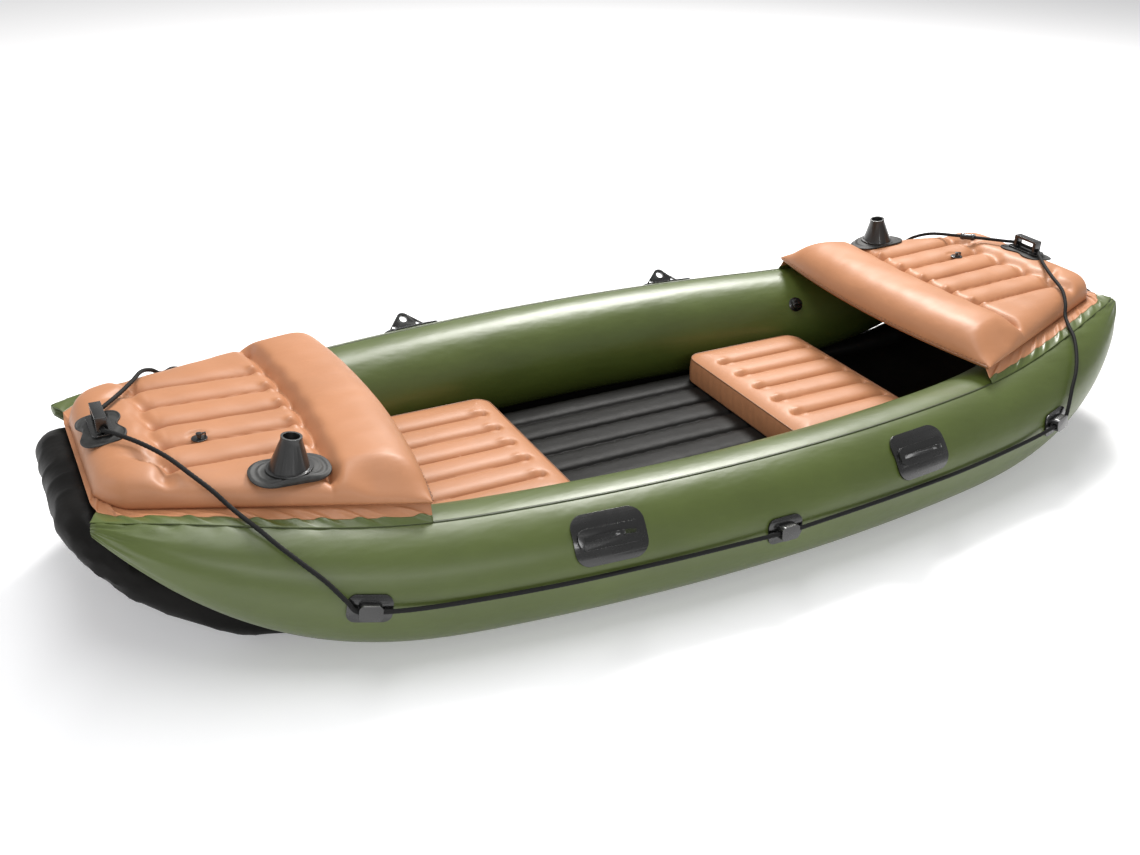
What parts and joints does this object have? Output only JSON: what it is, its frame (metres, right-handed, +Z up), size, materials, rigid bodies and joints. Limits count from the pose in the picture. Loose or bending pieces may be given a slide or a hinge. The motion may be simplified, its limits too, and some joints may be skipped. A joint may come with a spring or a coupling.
{
  "type": "inflatable rowing raft",
  "caption": "Double-ended inflatable rowing raft with upswept ends, spray decks, I-beam floor, lift-out seats, oarlocks, rod holders, grab handles and a grab line.",
  "frame": {"origin": "on the ground under the middle of the boat", "axes": "+X to the bow, +Y to port, +Z up; stern and bow are alike apart from the fittings that sit on opposite corners"},
  "size_m": [2.93, 1.3278, 0.4663],
  "materials": {
    "pvc_olive": "semi-matte coated fabric",
    "pvc_tan": "satin coated fabric",
    "pvc_black": "satin coated fabric",
    "patch_grey": "matte",
    "fitting_black": "glossy moulded plastic",
    "line_black": "braided cord"
  },
  "bodies": {
    "boat": {"side_tube_port": "pvc_olive", "side_tube_starboard": "pvc_olive", "end_tube_bow": "pvc_black", "end_tube_stern": "pvc_black", "bottom_sheet": "pvc_black", "floor_mattress": "pvc_black", "bow_deck": "pvc_tan", "stern_deck": "pvc_tan", "bow_deck_skirt": "pvc_tan", "stern_deck_skirt": "pvc_tan", "oarlock_bow_port": "fitting_black", "oarlock_bow_starboard": "fitting_black", "oarlock_stern_port": "fitting_black", "oarlock_stern_starboard": "fitting_black", "rod_holder_bow": "fitting_black", "rod_holder_stern": "fitting_black", "rod_holder_patch_bow": "patch_grey", "rod_holder_patch_stern": "patch_grey", "handle_bow": "fitting_black", "handle_stern": "fitting_black", "handle_patch_bow": "patch_grey", "handle_patch_stern": "patch_grey", "guide_bow_port": "fitting_black", "guide_mid_port": "fitting_black", "guide_stern_port": "fitting_black", "guide_bow_starboard": "fitting_black", "guide_mid_starboard": "fitting_black", "guide_stern_starboard": "fitting_black", "grab_line_port": "line_black", "grab_line_starboard": "line_black", "line_stopper": "fitting_black", "valve_body_port": "fitting_black", "valve_body_starboard": "fitting_black", "deck_valve_bow": "fitting_black", "deck_valve_stern": "fitting_black", "floor_valve": "fitting_black"},
    "bow_seat": {"bow_seat": "pvc_tan", "seat_valve_bow": "fitting_black"},
    "stern_seat": {"stern_seat": "pvc_tan", "seat_valve_stern": "fitting_black"},
    "valve_ring_port": {"valve_ring_port": "fitting_black"},
    "valve_cap_port": {"valve_cap_port": "fitting_black"},
    "valve_ring_starboard": {"valve_ring_starboard": "fitting_black"},
    "valve_cap_starboard": {"valve_cap_starboard": "fitting_black"},
    "deck_plug_bow": {"deck_plug_bow": "fitting_black"},
    "deck_plug_stern": {"deck_plug_stern": "fitting_black"},
    "seat_plug_bow": {"seat_plug_bow": "fitting_black"},
    "seat_plug_stern": {"seat_plug_stern": "fitting_black"},
    "floor_plug": {"floor_plug": "fitting_black"}
  },
  "joints": [
    {"name": "bow_seat_lift", "type": "slide", "parent": "boat", "child": "bow_seat", "axis": [0, 0, 1], "range_m": [0, 0.25]},
    {"name": "stern_seat_lift", "type": "slide", "parent": "boat", "child": "stern_seat", "axis": [0, 0, 1], "range_m": [0, 0.25]},
    {"name": "deck_plug_bow_hinge", "type": "hinge", "parent": "boat", "child": "deck_plug_bow", "pos_m": [1.16335, 0.096, 0.39494], "axis": [0, 1, 0], "range_deg": [0, 110]},
    {"name": "deck_plug_stern_hinge", "type": "hinge", "parent": "boat", "child": "deck_plug_stern", "pos_m": [-1.13735, -0.096, 0.39494], "axis": [0, 1, 0], "range_deg": [0, 110]},
    {"name": "seat_plug_bow_hinge", "type": "hinge", "parent": "bow_seat", "child": "seat_plug_bow", "pos_m": [0.531, -0.2874, 0.104], "axis": [0, 0, 1], "range_deg": [0, 110]},
    {"name": "seat_plug_stern_hinge", "type": "hinge", "parent": "stern_seat", "child": "seat_plug_stern", "pos_m": [-0.505, 0.2874, 0.104], "axis": [0, 0, -1], "range_deg": [0, 110]},
    {"name": "floor_plug_hinge", "type": "hinge", "parent": "boat", "child": "floor_plug", "pos_m": [0.767, 0, 0.0752], "axis": [0, 1, 0], "range_deg": [0, 110]},
    {"name": "valve_ring_port_rise", "type": "slide", "parent": "boat", "child": "valve_ring_port", "axis": [-0.1564, -0.824, 0.5445], "range_m": [0, 0.006]},
    {"name": "valve_cap_port_turn", "type": "hinge", "parent": "valve_ring_port", "child": "valve_cap_port", "pos_m": [0.7343, 0.30951, 0.22571], "axis": [-0.1564, -0.824, 0.5445], "range_deg": [0, 720]},
    {"name": "valve_ring_starboard_rise", "type": "slide", "parent": "boat", "child": "valve_ring_starboard", "axis": [0.1564, 0.824, 0.5445], "range_m": [0, 0.006]},
    {"name": "valve_cap_starboard_turn", "type": "hinge", "parent": "valve_ring_starboard", "child": "valve_cap_starboard", "pos_m": [-0.7343, -0.30951, 0.22571], "axis": [0.1564, 0.824, 0.5445], "range_deg": [0, 720]}
  ],
  "couplings": [
    {"joint": "valve_cap_port_turn", "follows": "valve_ring_port_rise", "rad_per_m": 2094.4},
    {"joint": "valve_cap_starboard_turn", "follows": "valve_ring_starboard_rise", "rad_per_m": 2094.4}
  ]
}
